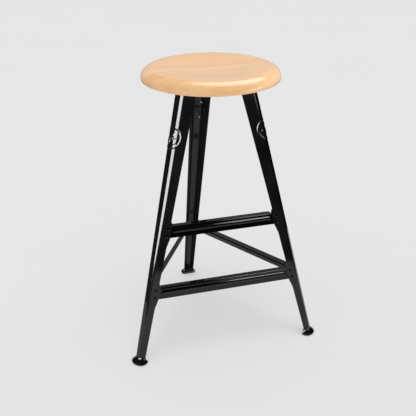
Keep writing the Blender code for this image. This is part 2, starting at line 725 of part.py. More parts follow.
def build_hub():
    outline = []
    depth = flange_plane(HUB_Z) - (SHEET + GAP) / math.cos(SIDE_LEAN) - 0.0006
    for side in ("front", "right", "left"):
        out, along = side_frame(side)
        for sign in (-1.0, 1.0):
            p = out * depth + along * sign * APRON_HALF
            outline.append((p.x, p.y))
    hub = prism("hub", outline, HUB_Z, HUB_TOP, BLACK)
    parts = []
    for side in ("front", "right", "left"):
        verts = []
        for sign in (-1.0, 1.0):
            for z, back in ((HUB_Z, 0.0), (APRON_TOP, 0.0), (APRON_TOP, 1.0), (HUB_Z, 1.0)):
                n = flange_plane(z) - (SHEET + GAP + back * APRON_T) / math.cos(SIDE_LEAN)
                verts.append(side_point(side, sign * APRON_HALF, n, z))
        faces = [(0, 1, 2, 3), (7, 6, 5, 4), (0, 4, 5, 1), (1, 5, 6, 2), (2, 6, 7, 3), (3, 7, 4, 0)]
        parts.append(add_object("apron_tool", verts, faces, BLACK))
    parts.append(peg("boss_tool", HUB_BOSS_D / 2.0, BOSS_LOW, HUB_Z + 0.001, BLACK, SMALL_SEG))
    boolean(hub, parts, 'UNION')
    hole = keyed_circle(SCREW_D / 2.0 + GAP, KEY_W / 2.0 - GAP, SCREW_D / 2.0 - KEY_DEEP + GAP, 32)
    cuts = [prism("hole_tool", hole, BOSS_LOW - 0.002, HUB_TOP + 0.002, BLACK)]
    for side in ("front", "right", "left"):
        for sign in (-1.0, 1.0):
            cuts.append(rivet_hole(side, sign * APRON_RIVET_U, APRON_RIVET_Z, BLACK))
    boolean(hub, cuts, 'DIFFERENCE')


def build_legs():
    marks = leg_samples(4, (1.0, 0.75, 0.5, 0.25))
    for leg, azimuth in LEG_AZ.items():
        plus, minus = leg_nodes(leg)
        outer = []
        inner = []
        for z in leg_heights(set(plus) | set(minus)):
            outer.append([leg_point(azimuth, z, w, a, 0.0, plus, minus) for w, a in marks])
            inner.append([leg_point(azimuth, z, w, a, -SHEET, plus, minus) for w, a in marks])
        obj = thick_sheet("leg_" + leg, outer, inner, BLACK)
        boolean(obj, [badge_solid(azimuth, BLACK)], 'UNION')
        cuts = []
        for side, legs in SIDE_LEGS.items():
            if leg not in legs:
                continue
            heights = (RUNG_LOW_Z, RUNG_UP_Z) if side == "front" else (RUNG_LOW_Z,)
            for middle in heights:
                for owner, u, z in rung_rivet_spots(side, middle):
                    if owner == leg:
                        cuts.append(rivet_hole(side, u, z, BLACK))
            sign = -1.0 if legs[0] == leg else 1.0
            cuts.append(rivet_hole(side, sign * APRON_RIVET_U, APRON_RIVET_Z, BLACK))
        boolean(obj, cuts, 'DIFFERENCE')

        # glide snapped into the foot
        rows = []
        for z in rim_heights():
            rows.append([leg_point(azimuth, z, w, a, -SHEET - GAP, (), ()) for w, a in marks])
        rows.insert(0, [Vector((p.x, p.y, 0.0)) for p in rows[0]])
        count = len(rows[0])
        last = len(rows) - 1
        verts = [p for row in rows for p in row]
        faces = [tuple(range(count - 1, -1, -1)), tuple(range(last * count, (last + 1) * count))]
        for r in range(last):
            for k in range(count):
                n = (k + 1) % count
                faces.append((r * count + k, r * count + n, (r + 1) * count + n, (r + 1) * count + k))
        add_object("glide_" + leg, verts, faces, NYLON)


def build_rungs():
    plans = [("footrest", "front", RUNG_UP_Z), ("rung_front", "front", RUNG_LOW_Z)]
    plans += [("rung_right", "right", RUNG_LOW_Z), ("rung_left", "left", RUNG_LOW_Z)]
    for name, side, middle in plans:
        rows_out, rows_in = rung_grid(side, middle)
        obj = thick_sheet(name, rows_out, rows_in, BLACK)
        spots = rung_rivet_spots(side, middle)
        boolean(obj, [rivet_hole(side, u, z, BLACK) for _, u, z in spots], 'DIFFERENCE')
        for k, (_, u, z) in enumerate(spots):
            rivet("%s_rivet_%d" % (name, k + 1), side, u, z, 2.0 * SHEET + GAP, BLACK)
    for side in ("front", "right", "left"):
        for k, sign in enumerate((-1.0, 1.0)):
            grip = SHEET + GAP + APRON_T
            rivet("hub_rivet_%s_%d" % (side, k + 1), side, sign * APRON_RIVET_U, APRON_RIVET_Z,
                  grip, BLACK)


def stand_over_origin():
    """Moves the stool so that the origin is under the middle of its bounding box."""
    low = [1.0, 1.0]
    high = [-1.0, -1.0]
    for obj in bpy.data.objects:
        for v in obj.data.vertices:
            for i in range(2):
                low[i] = min(low[i], v.co[i])
                high[i] = max(high[i], v.co[i])
    shift = Vector((0.0, -(low[1] + high[1]) / 2.0, 0.0))
    for obj in bpy.data.objects:
        if obj in moving:
            obj.location = shift
        else:
            obj.data.transform(Matrix.Translation(shift))
    print("seat axis y = %.6f" % shift.y)


clear_scene()
build_seat()
build_head()
build_hub()
build_legs()
build_rungs()
stand_over_origin()
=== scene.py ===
"""Looks of the three-legged workshop stool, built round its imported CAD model."""
import json
import math

import bmesh
import bpy
from mathutils import Matrix, Vector

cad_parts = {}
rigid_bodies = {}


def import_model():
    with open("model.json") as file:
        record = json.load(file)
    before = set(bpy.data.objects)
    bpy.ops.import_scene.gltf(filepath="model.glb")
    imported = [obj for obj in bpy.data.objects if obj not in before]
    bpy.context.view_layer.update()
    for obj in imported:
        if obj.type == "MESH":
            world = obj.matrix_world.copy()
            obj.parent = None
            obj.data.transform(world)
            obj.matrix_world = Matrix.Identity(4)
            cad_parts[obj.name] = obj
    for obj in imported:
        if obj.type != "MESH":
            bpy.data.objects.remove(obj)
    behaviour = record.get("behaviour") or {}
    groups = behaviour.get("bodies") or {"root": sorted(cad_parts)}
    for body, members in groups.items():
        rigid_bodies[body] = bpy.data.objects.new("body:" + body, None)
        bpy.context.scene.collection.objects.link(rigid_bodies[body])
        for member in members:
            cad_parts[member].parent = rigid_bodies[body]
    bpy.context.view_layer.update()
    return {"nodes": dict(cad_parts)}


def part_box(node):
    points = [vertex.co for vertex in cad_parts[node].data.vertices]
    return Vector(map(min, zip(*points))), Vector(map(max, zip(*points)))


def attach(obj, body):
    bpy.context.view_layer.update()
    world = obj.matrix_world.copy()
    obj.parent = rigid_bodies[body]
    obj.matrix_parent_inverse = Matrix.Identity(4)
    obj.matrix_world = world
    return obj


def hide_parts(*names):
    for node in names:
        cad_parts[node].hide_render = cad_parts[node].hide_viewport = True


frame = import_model()

# ---------------------------------------------------------------- sizes, as in the CAD
low_corner, high_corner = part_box("seat_board")
AXIS = Vector(((low_corner.x + high_corner.x) / 2.0, (low_corner.y + high_corner.y) / 2.0, 0.0))
GAP = 0.0003
SHEET = 0.0020
SEAT_TOP_Z = high_corner.z
SEAT_LOW_Z = low_corner.z
SEAT_R = 0.1750
SEAT_DISH = 0.0055
SEAT_FLAT_R = 0.0400
SEAT_RIM_IN = 0.0310
SEAT_TOP_ROUND = 0.0235
SEAT_LOW_ROUND = 0.0055
RECESS_R = 0.0210
RECESS_H = 0.0090
LEG_REF = 0.700
LEG_R_LOW, LEG_R_TOP = 0.2902, 0.1133
LEG_WEB_LOW, LEG_WEB_TOP = 0.0147, 0.0231
LEG_FLANGE_LOW, LEG_FLANGE_TOP = 0.0158, 0.0354
LEG_BEND = 0.41
LEG_FOLD = math.radians(60.0)
LEG_RIM_Z = 0.0010
LEG_TOP = SEAT_LOW_Z - 0.0040
HOOF_H = 0.0205
HOOF_BEND = 0.50
HOOF_WIDE_Z = 0.0055
HOOF_DEEP = 0.0205
HOOF_WIDE = 0.0235
HOOF_BACK = 0.0122
HOOF_ARC = math.radians(125.0)
HOOF_CURL = 0.0050
RUNG_LOW_Z = 0.1943
RUNG_UP_Z = 0.3585
RUNG_FACE = 0.0304
RUNG_SHELF = 0.0150
RUNG_ROUND = 0.0030
RUNG_CLEAR = 0.0020         # the rung's end stays this far off the leg's bend
RUNG_TONGUE = 0.0050        # depth of the shelf where the end lies behind the leg's flange
RUNG_STEP_START = 0.0010    # past the flange's edge the shelf grows to its full depth
RUNG_STEP_END = 0.0030
BEAD_H = 0.0108
BEAD_OUT = 0.0022
BEAD_DROP = 0.0127
BEAD_START = 0.0085         # past the flange's edge
BEAD_RUN = 0.0170           # length of the finer rows that hold the bead's round end
TAB_OUT = 0.0050
TAB_LOW = 0.0165
TAB_HIGH = 0.0205
TAB_SLOPE_LOW = 0.0230
TAB_SLOPE_HIGH = 0.0085
RIVET_R = 0.0025
RIVET_HEAD_R = 0.0045
RIVET_HEAD_H = 0.0017
RIVET_TAIL_H = 0.0016       # closed end on the far side of the sheets
RIVET_TAIL_EDGE = 0.0010
RIVET_STEP = 0.0095
RIVET_INSET = 0.0050
BADGE_Z = 0.5970
BADGE_R = 0.0275
BADGE_OUT = 0.0010
APRON_T = 0.0025
APRON_RIVET_U = 0.0700
APRON_RIVET_Z = 0.7086
LEG_AZ = {"left": 210.0, "right": 330.0, "back": 90.0}
SIDE_AZ = {"front": 270.0, "right": 30.0, "left": 150.0}
COS60 = math.cos(LEG_FOLD)
SIN60 = math.sin(LEG_FOLD)
SHARP_EDGE = math.radians(35.0)
MERGE = 0.000001
EDGE_ROUND = 0.0004         # rounding of a sheet's or a part's sharp edges
LEG_EDGE_ROUND = 0.00045
BUMP_DEPTH = 0.0002


# ---------------------------------------------------------------- node helpers
class Nodes:
    """Small helper that adds shader nodes and links them."""

    def __init__(self, name):
        self.mat = bpy.data.materials.new(name)
        self.mat.use_nodes = True
        self.tree = self.mat.node_tree
        self.shader = self.tree.nodes["Principled BSDF"]
        coords = self.tree.nodes.new("ShaderNodeTexCoord")
        self.where = coords.outputs["Object"]

    def add(self, kind, **values):
        node = self.tree.nodes.new(kind)
        for key, value in values.items():
            setattr(node, key, value)
        return node

    def link(self, a, b):
        self.tree.links.new(a, b)

    def mapped(self, scale, turn=0.0):
        node = self.add("ShaderNodeMapping")
        node.inputs["Scale"].default_value = scale
        node.inputs["Rotation"].default_value = (0.0, 0.0, turn)
        self.link(self.where, node.inputs["Vector"])
        return node.outputs["Vector"]

    def noise(self, vector, scale, detail=4.0, rough=0.5):
        node = self.add("ShaderNodeTexNoise")
        node.inputs["Scale"].default_value = scale
        node.inputs["Detail"].default_value = detail
        node.inputs["Roughness"].default_value = rough
        self.link(vector, node.inputs["Vector"])
        return node.outputs["Fac"]

    def ramp(self, source, stops):
        node = self.add("ShaderNodeValToRGB")
        ramp = node.color_ramp
        ramp.elements[0].position = stops[0][0]
        ramp.elements[0].color = (*stops[0][1], 1.0)
        ramp.elements[1].position = stops[-1][0]
        ramp.elements[1].color = (*stops[-1][1], 1.0)
        for place, color in stops[1:-1]:
            element = ramp.elements.new(place)
            element.color = (*color, 1.0)
        self.link(source, node.inputs["Fac"])
        return node.outputs["Color"]

    def spread(self, source, low, high):
        node = self.add("ShaderNodeMapRange")
        node.inputs["From Min"].default_value = 0.25
        node.inputs["From Max"].default_value = 0.75
        node.inputs["To Min"].default_value = low
        node.inputs["To Max"].default_value = high
        self.link(source, node.inputs["Value"])
        return node.outputs["Result"]

    def multiply(self, factor, a, b):
        node = self.add("ShaderNodeMix", data_type='RGBA', blend_type='MULTIPLY')
        node.inputs["Factor"].default_value = factor
        self.link(a, node.inputs["A"])
        self.link(b, node.inputs["B"])
        return node.outputs["Result"]

    def bump(self, height, strength):
        node = self.add("ShaderNodeBump")
        node.inputs["Strength"].default_value = strength
        node.inputs["Distance"].default_value = BUMP_DEPTH
        self.link(height, node.inputs["Height"])
        self.link(node.outputs["Normal"], self.shader.inputs["Normal"])

    def set(self, name, value):
        self.shader.inputs[name].default_value = value


def enamel(name="black_enamel", rough=0.08):
    n = Nodes(name)
    cloud = n.noise(n.where, 14.0, 3.0)
    peel = n.noise(n.where, 420.0, 2.0)
    color = n.ramp(cloud, [(0.3, (0.0010, 0.0010, 0.0011)), (0.7, (0.0020, 0.0020, 0.0022))])
    n.link(color, n.shader.inputs["Base Color"])
    n.link(n.spread(cloud, rough - 0.02, rough + 0.02), n.shader.inputs["Roughness"])
    n.set("Specular IOR Level", 0.30)
    n.set("Coat Weight", 0.2)
    n.set("Coat Roughness", 0.05)
    n.bump(peel, 0.018)
    return n.mat


def beech(turn):
    n = Nodes("glossy_beech")
    along = n.mapped((2.2, 26.0, 26.0), turn)
    fine = n.mapped((9.0, 160.0, 160.0), turn)
    fleck = n.mapped((95.0, 520.0, 520.0), turn)
    band = n.noise(along, 1.0, 4.0, 0.55)
    streak = n.noise(fine, 1.0, 3.0, 0.6)
    spot = n.noise(fleck, 1.0, 1.0, 0.4)
    base = n.ramp(band, [(0.25, (0.86, 0.495, 0.235)),
                         (0.5, (0.92, 0.555, 0.275)),
                         (0.75, (0.95, 0.605, 0.32))])
    lines = n.ramp(streak, [(0.30, (0.86, 0.82, 0.78)), (0.60, (1.0, 1.0, 1.0))])
    color = n.multiply(0.55, base, lines)
    marks = n.ramp(spot, [(0.66, (1.0, 1.0, 1.0)), (0.74, (0.80, 0.70, 0.62))])
    color = n.multiply(0.5, color, marks)
    n.link(color, n.shader.inputs["Base Color"])
    n.link(n.spread(streak, 0.28, 0.40), n.shader.inputs["Roughness"])
    n.set("Coat Weight", 0.75)
    n.set("Coat Roughness", 0.14)
    n.bump(streak, 0.05)
    return n.mat


def metal(name, color, rough):
    n = Nodes(name)
    brushed = n.noise(n.mapped((60.0, 60.0, 900.0)), 1.0, 3.0)
    cloud = n.noise(n.where, 45.0, 3.0)
    dark = tuple(c * 0.82 for c in color)
    n.link(n.ramp(cloud, [(0.3, dark), (0.7, color)]), n.shader.inputs["Base Color"])
    n.link(n.spread(brushed, rough - 0.07, rough + 0.07), n.shader.inputs["Roughness"])
    n.set("Metallic", 1.0)
    n.bump(brushed, 0.05)
    return n.mat


def nylon():
    n = Nodes("glide_nylon")
    grain = n.noise(n.where, 700.0, 2.0)
    n.link(n.ramp(grain, [(0.3, (0.004, 0.004, 0.004)), (0.7, (0.008, 0.008, 0.008))]),
           n.shader.inputs["Base Color"])
    n.link(n.spread(grain, 0.45, 0.62), n.shader.inputs["Roughness"])
    n.bump(grain, 0.1)
    return n.mat


GRAIN_TURN = math.radians(14.0)
BLACK = enamel()
RIVET_BLACK = enamel("rivet_enamel", 0.30)
WOOD = beech(GRAIN_TURN)
ZINC = metal("zinc_plate", (0.60, 0.61, 0.62), 0.34)
BRASS = metal("washer_brass", (0.64, 0.47, 0.20), 0.30)
NYLON = nylon()


# ---------------------------------------------------------------- mesh helpers
def add_mesh(name, verts, faces, material):
    """Smooth-shaded mesh object in the scene, with its sharp edges marked."""
    mesh = bpy.data.meshes.new(name)
    mesh.from_pydata([tuple(v) for v in verts], [], faces)
    mesh.update()
    bm = bmesh.new()
    bm.from_mesh(mesh)
    bmesh.ops.remove_doubles(bm, verts=bm.verts, dist=MERGE)
    bmesh.ops.recalc_face_normals(bm, faces=bm.faces)
    for face in bm.faces:
        face.smooth = True
    for edge in bm.edges:
        if len(edge.link_faces) == 2:
            edge.smooth = edge.calc_face_angle(0.0) < SHARP_EDGE
    bm.to_mesh(mesh)
    bm.free()
    obj = bpy.data.objects.new(name, mesh)
    bpy.context.scene.collection.objects.link(obj)
    mesh.materials.append(material)
    return obj


def soften(obj, width):
    """Small round on the sharp edges, so that they catch the light."""
    mod = obj.modifiers.new("edge", 'BEVEL')
    mod.width = width
    mod.segments = 2
    mod.limit_method = 'ANGLE'
    mod.angle_limit = math.radians(40.0)
    mod.harden_normals = True


def thick_sheet(name, outer, inner, material):
    """Closed sheet between two grids of points of the same size, each a list of rows."""
    rows = len(outer)
    cols = len(outer[0])
    verts = [p + AXIS for row in outer for p in row] + [p + AXIS for row in inner for p in row]
    shift = rows * cols
    faces = []

    def at(r, c, side):
        return side * shift + r * cols + c

    for r in range(rows - 1):
        for c in range(cols - 1):
            faces.append((at(r, c, 0), at(r, c + 1, 0), at(r + 1, c + 1, 0), at(r + 1, c, 0)))
            faces.append((at(r, c, 1), at(r + 1, c, 1), at(r + 1, c + 1, 1), at(r, c + 1, 1)))
        last = cols - 1
        faces.append((at(r, 0, 0), at(r + 1, 0, 0), at(r + 1, 0, 1), at(r, 0, 1)))
        faces.append((at(r, last, 0), at(r, last, 1), at(r + 1, last, 1), at(r + 1, last, 0)))
    end = rows - 1
    for c in range(cols - 1):
        faces.append((at(0, c, 0), at(0, c, 1), at(0, c + 1, 1), at(0, c + 1, 0)))
        faces.append((at(end, c, 0), at(end, c + 1, 0), at(end, c + 1, 1), at(end, c, 1)))
    return add_mesh(name, verts, faces, material)


def turned_mesh(name, profile, segments, material, matrix=None):
    """Solid of revolution from an open profile that starts and ends on the axis."""
    verts = []
    faces = []
    rows = []
    for radius, z in profile:
        if radius < 1e-9:
            rows.append([len(verts)])
            verts.append(Vector((0.0, 0.0, z)))
        else:
            rows.append(list(range(len(verts), len(verts) + segments)))
            for k in range(segments):
                angle = 2.0 * math.pi * k / segments
                verts.append(Vector((radius * math.cos(angle), radius * math.sin(angle), z)))
    for low, high in zip(rows, rows[1:]):
        for k in range(segments):
            n = (k + 1) % segments
            if len(low) == 1:
                faces.append((low[0], high[n], high[k]))
            elif len(high) == 1:
                faces.append((low[k], low[n], high[0]))
            else:
                faces.append((low[k], low[n], high[n], high[k]))
    place = matrix if matrix is not None else Matrix.Identity(4)
    return add_mesh(name, [place @ v + AXIS for v in verts], faces, material)


# ---------------------------------------------------------------- legs
def leg_sizes(z):
    """Distance of the nose from the seat axis, web width and flange width at that height."""
    share = z / LEG_REF
    nose = LEG_R_LOW + (LEG_R_TOP - LEG_R_LOW) * share
    web = LEG_WEB_LOW + (LEG_WEB_TOP - LEG_WEB_LOW) * share
    flange = LEG_FLANGE_LOW + (LEG_FLANGE_TOP - LEG_FLANGE_LOW) * share
    return nose, web, flange


def flange_plane(z):
    """Distance of a flange's outer face from the seat axis."""
    nose, web, _ = leg_sizes(z)
    return nose * COS60 + web * 0.5 * SIN60


def corner_along(z):
    """Distance along that face from its middle to the corner of web and flange."""
    nose, web, _ = leg_sizes(z)
    return nose * SIN60 - web * 0.5 * COS60


SIDE_LEAN = math.atan((flange_plane(0.0) - flange_plane(LEG_REF)) / LEG_REF)
NOSE_LEAN = math.atan((LEG_R_LOW - LEG_R_TOP) / LEG_REF)


def tab_width(z, nodes):
    width = 0.0
    for node in nodes:
        rise = (z - (node - TAB_LOW - TAB_SLOPE_LOW)) / TAB_SLOPE_LOW
        fall = ((node + TAB_HIGH + TAB_SLOPE_HIGH) - z) / TAB_SLOPE_HIGH
        width = max(width, TAB_OUT * max(0.0, min(1.0, rise, fall)))
    return width


def hoof_share(z):
    """0 on the plain leg, 1 where its outline has become the foot's round outline."""
    share = max(0.0, min(1.0, (HOOF_H - z) / (HOOF_H - HOOF_WIDE_Z)))
    bent = min(share, HOOF_BEND)
    return (bent * bent / (2.0 * HOOF_BEND) + share - bent) / (1.0 - HOOF_BEND / 2.0)


def hoof_curl(z):
    """How far the rim has turned in below the widest line."""
    below = max(0.0, HOOF_WIDE_Z - z) / HOOF_WIDE_Z
    return HOOF_CURL * (1.0 - math.sqrt(1.0 - below * below))


def smooth(t):
    t = max(0.0, min(1.0, t))
    return t * t * (3.0 - 2.0 * t)


def badge_rise(along, z):
    """Height of the round pressed emblem: raised rim, sunk ring, three low petals."""
    up = (z - BADGE_Z) / math.cos(NOSE_LEAN)
    dist = math.hypot(along, up) / BADGE_R
    if dist >= 1.0:
        return 0.0
    rim = smooth((1.0 - dist) / 0.06) * (1.0 - 0.85 * smooth((0.93 - dist) / 0.06))
    turn = math.atan2(up, along)
    petal = smooth((0.66 - abs(dist - 0.42) * 2.6) / 0.25)
    petal *= smooth((math.cos(3.0 * turn + 1.57) + 0.35) / 0.5)
    core = smooth((0.17 - dist) / 0.05)
    return BADGE_OUT * (rim + 0.75 * max(petal * smooth((0.80 - dist) / 0.1), core))


def leg_point(azimuth, z, where, amount, offset, nodes):
    """Point of the leg's section: a share of the web, an angle on the bend or a share of the
    flange, negative clockwise of the nose seen from above, moved out by offset."""
    nose, web, flange = leg_sizes(z)
    radius = LEG_BEND * web
    tangent = radius * math.tan(LEG_FOLD / 2.0)
    flat = web / 2.0 - tangent
    arc = radius * LEG_FOLD
    side = 1.0 if amount >= 0.0 else -1.0
    full = flange - tangent + tab_width(z, nodes[side])
    if where == "web":
        along = abs(amount) * flat
    elif where == "bend":
        along = flat + radius * abs(amount)
    else:
        along = flat + arc + full * abs(amount)
    reach = offset + badge_rise(side * along, z)
    if where == "web":
        rho, tau = nose + reach, amount * flat
    elif where == "bend":
        angle = abs(amount)
        rho = nose - radius + (radius + reach) * math.cos(angle)
        tau = side * (flat + (radius + reach) * math.sin(angle))
    else:
        length = full * abs(amount)
        rho = nose - radius + (radius + reach) * COS60 - length * SIN60
        tau = side * (flat + (radius + reach) * SIN60 + length * COS60)
    share = hoof_share(z)
    turn = HOOF_ARC * along / (flat + arc + full)
    spread = offset - hoof_curl(z)
    rho += share * (LEG_R_LOW - HOOF_BACK + (HOOF_DEEP + spread) * math.cos(turn) - rho)
    tau += share * (side * (HOOF_WIDE + spread) * math.sin(turn) - tau)
    a = math.radians(azimuth)
    return Vector((rho * math.cos(a) - tau * math.sin(a), rho * math.sin(a) + tau * math.cos(a), z))


def leg_marks():
    """The section's columns, from one flange's edge round the nose to the other's."""
    shares = [1.0 - k / 16.0 for k in range(17)][:-1]
    marks = [("flange", -s) for s in shares]
    marks += [("bend", -LEG_FOLD * k / 10.0) for k in range(10, 0, -1)]
    marks += [("web", -1.0 + 2.0 * k / 10.0) for k in range(11)]
    marks += [("bend", LEG_FOLD * k / 10.0) for k in range(1, 11)]
    marks += [("flange", s) for s in reversed(shares)]
    return marks


def leg_nodes(leg):
    """Heights of the rungs that are riveted to each flange."""
    low = (RUNG_LOW_Z,)
    both = (RUNG_LOW_Z, RUNG_UP_Z)
    return {1.0: both if leg == "left" else low, -1.0: both if leg == "right" else low}


def leg_heights(nodes):
    curl = HOOF_WIDE_Z - LEG_RIM_Z
    heights = [LEG_RIM_Z + curl * (1.0 - math.cos(math.pi / 2.0 * k / 8.0)) for k in range(9)]
    heights += [HOOF_WIDE_Z + (HOOF_H - HOOF_WIDE_Z) * k / 25.0 for k in range(1, 26)]
    for node in sorted(nodes):
        heights += [node - TAB_LOW - TAB_SLOPE_LOW, node - TAB_LOW]
        heights += [node + TAB_HIGH, node + TAB_HIGH + TAB_SLOPE_HIGH]
    steps = 60
    reach = BADGE_R * 1.05 * math.cos(NOSE_LEAN)
    heights += [BADGE_Z - reach + 2.0 * reach * k / steps for k in range(steps + 1)]
    heights.append(LEG_TOP)
    return heights


def build_legs():
    marks = leg_marks()
    for leg, azimuth in LEG_AZ.items():
        nodes = leg_nodes(leg)
        outer = []
        inner = []
        for z in leg_heights(set(nodes[1.0]) | set(nodes[-1.0])):
            outer.append([leg_point(azimuth, z, w, a, 0.0, nodes) for w, a in marks])
            inner.append([leg_point(azimuth, z, w, a, -SHEET, nodes) for w, a in marks])
        obj = thick_sheet("leg_sheet_" + leg, outer, inner, BLACK)
        soften(obj, LEG_EDGE_ROUND)
        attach(obj, "frame")
        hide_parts("leg_" + leg)


# ---------------------------------------------------------------- rungs and rivets
def side_frame(side):
    a = math.radians(SIDE_AZ[side])
    return Vector((math.cos(a), math.sin(a), 0.0)), Vector((-math.sin(a), math.cos(a), 0.0))


def side_point(side, u, n, z):
    out, along = side_frame(side)
    return out * n + along * u + Vector((0.0, 0.0, z))


def rivet_matrix(side, u, z):
    out, along = side_frame(side)
    normal = out * math.cos(SIDE_LEAN) + Vector((0.0, 0.0, math.sin(SIDE_LEAN)))
    up = normal.cross(along)
    origin = side_point(side, u, flange_plane(z), z)
    return Matrix((
        (along.x, up.x, normal.x, origin.x),
        (along.y, up.y, normal.y, origin.y),
        (along.z, up.z, normal.z, origin.z),
        (0.0, 0.0, 0.0, 1.0),
    ))


def rivet(name, node, side, u, z, grip):
    low = -grip - GAP
    profile = [(0.0, low - RIVET_TAIL_H),
               (RIVET_HEAD_R * 0.78, low - RIVET_TAIL_H),
               (RIVET_HEAD_R * 0.84, low - RIVET_TAIL_EDGE)]
    profile += [(RIVET_HEAD_R * 0.85, low), (RIVET_R, low), (RIVET_R, GAP), (RIVET_HEAD_R, GAP)]
    for k in range(1, 8):
        angle = math.pi / 2.0 * k / 8.0
        profile.append((RIVET_HEAD_R * math.cos(angle), GAP + RIVET_HEAD_H * math.sin(angle)))
    profile.append((0.0, GAP + RIVET_HEAD_H))
    obj = turned_mesh(name, profile, 28, RIVET_BLACK, rivet_matrix(side, u, z))
    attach(obj, "frame")
    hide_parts(node)


def rung_rivet_spots(middle):
    spots = []
    for sign in (-1.0, 1.0):
        for step in (RIVET_STEP, -RIVET_STEP):
            z = middle + step
            spots.append((sign * (corner_along(z) - leg_sizes(z)[2] + RIVET_INSET), z))
    return spots


def capsule_rise(distance, half):
    """Round-topped bead: distance from the bead's middle line, as a share of its half height."""
    t = min(1.0, distance / half)
    return BEAD_OUT * math.cos(t * math.pi / 2.0) ** 0.8 if t < 1.0 else 0.0


def rung_profile(middle, shelf):
    """(depth, height, normal depth, normal height) from the shelf's back edge to the lower edge."""
    top = middle + RUNG_FACE / 2.0
    bottom = middle - RUNG_FACE / 2.0
    r = RUNG_ROUND
    line = [(r + (shelf - r) * (1.0 - k / 4.0), top, 0.0, 1.0) for k in range(4)]
    for k in range(9):
        angle = math.pi / 2.0 * (1.0 - k / 8.0)
        across, up = math.cos(angle), math.sin(angle)
        line.append((r - r * across, top - r + r * up, across, up))
    first = top - r - 0.0008
    last = middle - RUNG_FACE / 2.0 + 0.0010
    steps = 34
    for k in range(steps + 1):
        line.append((0.0, first + (last - first) * k / steps, 1.0, 0.0))
    line.append((0.0, bottom, 1.0, 0.0))
    return line


def rung_stations(middle):
    """(inset from the bend corner, shelf depth) along half a rung."""
    _, web, flange = leg_sizes(middle)
    start = LEG_BEND * web * math.tan(LEG_FOLD / 2.0) + RUNG_CLEAR
    edge = flange + TAB_OUT
    stations = [(start, RUNG_TONGUE),
                (edge + RUNG_STEP_START, RUNG_TONGUE),
                (edge + RUNG_STEP_END, RUNG_SHELF)]
    for k in range(1, 19):
        stations.append((edge + RUNG_STEP_END + BEAD_RUN * k / 18.0, RUNG_SHELF))
    return stations


def build_rung(name, side, middle):
    stations = rung_stations(middle)
    flange = leg_sizes(middle)[2]
    bead_start = flange + BEAD_START + BEAD_H / 2.0
    center = middle + RUNG_FACE / 2.0 - BEAD_DROP
    behind = (SHEET + GAP) / math.cos(SIDE_LEAN)
    rows_out = []
    rows_in = []
    for sign in (-1.0, 1.0):
        ordered = stations if sign < 0.0 else list(reversed(stations))
        for inset, shelf in ordered:
            row_out = []
            row_in = []
            for depth, z, nd, nz in rung_profile(middle, shelf):
                beyond = max(0.0, bead_start - inset) * 1.5
                rise = 0.0
                if nd == 1.0:
                    rise = capsule_rise(math.hypot(beyond, z - center), BEAD_H / 2.0)
                for row, off in ((row_out, 0.0), (row_in, SHEET)):
                    zz = z - off * nz
                    u = sign * (corner_along(zz) - inset)
                    n = flange_plane(zz) - behind - depth - off * nd + rise
                    row.append(side_point(side, u, n, zz))
            rows_out.append(row_out)
            rows_in.append(row_in)
    obj = thick_sheet(name + "_sheet", rows_out, rows_in, BLACK)
    soften(obj, EDGE_ROUND)
    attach(obj, "frame")
    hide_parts(name)
    for k, (u, z) in enumerate(rung_rivet_spots(middle)):
        node = "%s_rivet_%d" % (name, k + 1)
        rivet(node + "_round", node, side, u, z, 2.0 * SHEET + GAP)


def build_hub_rivets():
    for side in SIDE_AZ:
        for k, sign in enumerate((-1.0, 1.0)):
            node = "hub_rivet_%s_%d" % (side, k + 1)
            rivet(node + "_round", node, side, sign * APRON_RIVET_U, APRON_RIVET_Z,
                  SHEET + GAP + APRON_T)


# ---------------------------------------------------------------- seat
def build_seat():
    rim_r = SEAT_R - SEAT_RIM_IN
    profile = [(0.0, SEAT_TOP_Z - SEAT_DISH), (SEAT_FLAT_R, SEAT_TOP_Z - SEAT_DISH)]
    for k in range(1, 33):
        share = k / 32.0
        drop = SEAT_DISH * (0.5 + 0.5 * math.cos(math.pi * share))
        profile.append((SEAT_FLAT_R + (rim_r - SEAT_FLAT_R) * share, SEAT_TOP_Z - drop))
    for k in range(1, 25):
        angle = math.pi / 2.0 * k / 24.0
        profile.append((rim_r + (SEAT_R - rim_r) * math.sin(angle),
                        SEAT_TOP_Z - SEAT_TOP_ROUND * (1.0 - math.cos(angle))))
    for k in range(1, 17):
        angle = math.pi / 2.0 * k / 16.0
        profile.append((SEAT_R - SEAT_LOW_ROUND * (1.0 - math.cos(angle)),
                        SEAT_LOW_Z + SEAT_LOW_ROUND * (1.0 - math.sin(angle))))
    profile += [(RECESS_R, SEAT_LOW_Z),
                (RECESS_R, SEAT_LOW_Z + RECESS_H),
                (0.0, SEAT_LOW_Z + RECESS_H)]
    obj = turned_mesh("seat_turned", profile, 240, WOOD)
    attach(obj, "seat")
    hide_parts("seat_board")


def paint(material, *nodes):
    """Give CAD pieces that keep their own mesh a better material."""
    for node in nodes:
        mesh = frame["nodes"][node].data
        mesh.materials.clear()
        mesh.materials.append(material)


build_legs()
build_rung("footrest", "front", RUNG_UP_Z)
build_rung("rung_front", "front", RUNG_LOW_Z)
build_rung("rung_right", "right", RUNG_LOW_Z)
build_rung("rung_left", "left", RUNG_LOW_Z)
build_hub_rivets()
build_seat()
paint(BLACK, "hub")
soften(frame["nodes"]["hub"], EDGE_ROUND)
paint(NYLON, "glide_left", "glide_right", "glide_back")
paint(BRASS, "thrust_washer")
paint(ZINC, "adjusting_pillar", "retaining_washer", "retaining_bolt", "stop_washer", "stop_bolt",
      "hand_nut", "swivel_plate", "seat_screw_1", "seat_screw_2", "seat_screw_3", "seat_screw_4")
for node in ("hand_nut", "swivel_plate"):
    soften(frame["nodes"][node], EDGE_ROUND)


